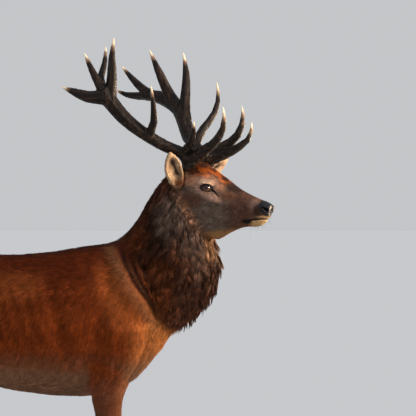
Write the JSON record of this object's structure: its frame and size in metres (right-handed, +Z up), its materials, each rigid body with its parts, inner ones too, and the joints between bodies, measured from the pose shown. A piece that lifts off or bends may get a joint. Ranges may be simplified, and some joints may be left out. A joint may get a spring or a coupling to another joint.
{
  "type": "red deer stag",
  "caption": "Life-size still model of a standing red deer stag: head up and turned a little to its right, branched antlers, full neck mane.",
  "frame": {"origin": "bottom centre of the part's box, on the ground under the hooves", "axes": "+X the way the body faces, +Y its left side, +Z up"},
  "size_m": [1.8648, 0.7622, 2.0712],
  "materials": {
    "red_coat": "short red-brown hair, lying flat",
    "mane_coat": "long shaggy dark brown hair",
    "face_coat": "very short grey-brown hair",
    "ear_coat": "cream hair inside, brown outside",
    "leg_coat": "short brown hair, lying flat",
    "antler_bone": "grooved dark bone with polished ivory tips",
    "horn": "dark satin horn",
    "eye": "wet gloss, dark brown"
  },
  "bodies": {
    "root": {"antler_left_beam_lower": "antler_bone", "antler_left_beam_upper": "antler_bone", "antler_left_bez": "antler_bone", "antler_left_brow": "antler_bone", "antler_left_crown_front": "antler_bone", "antler_left_crown_inner": "antler_bone", "antler_left_crown_outer": "antler_bone", "antler_left_crown_rear": "antler_bone", "antler_left_trez": "antler_bone", "antler_right_beam_lower": "antler_bone", "antler_right_beam_upper": "antler_bone", "antler_right_bez": "antler_bone", "antler_right_brow": "antler_bone", "antler_right_crown_front": "antler_bone", "antler_right_crown_inner": "antler_bone", "antler_right_crown_outer": "antler_bone", "antler_right_crown_rear": "antler_bone", "antler_right_trez": "antler_bone", "dewclaw_foreleg_left_inner": "horn", "dewclaw_foreleg_left_outer": "horn", "dewclaw_foreleg_right_inner": "horn", "dewclaw_foreleg_right_outer": "horn", "dewclaw_hindleg_left_inner": "horn", "dewclaw_hindleg_left_outer": "horn", "dewclaw_hindleg_right_inner": "horn", "dewclaw_hindleg_right_outer": "horn", "ear_left": "ear_coat", "ear_right": "ear_coat", "eye_left": "eye", "eye_right": "eye", "foreleg_left_lower": "leg_coat", "foreleg_left_upper": "leg_coat", "foreleg_right_lower": "leg_coat", "foreleg_right_upper": "leg_coat", "head": "face_coat", "hindleg_left_lower": "leg_coat", "hindleg_left_upper": "leg_coat", "hindleg_right_lower": "leg_coat", "hindleg_right_upper": "leg_coat", "hoof_foreleg_left_inner": "horn", "hoof_foreleg_left_outer": "horn", "hoof_foreleg_right_inner": "horn", "hoof_foreleg_right_outer": "horn", "hoof_hindleg_left_inner": "horn", "hoof_hindleg_left_outer": "horn", "hoof_hindleg_right_inner": "horn", "hoof_hindleg_right_outer": "horn", "neck": "mane_coat", "tail": "red_coat", "trunk": "red_coat"}
  },
  "joints": []
}
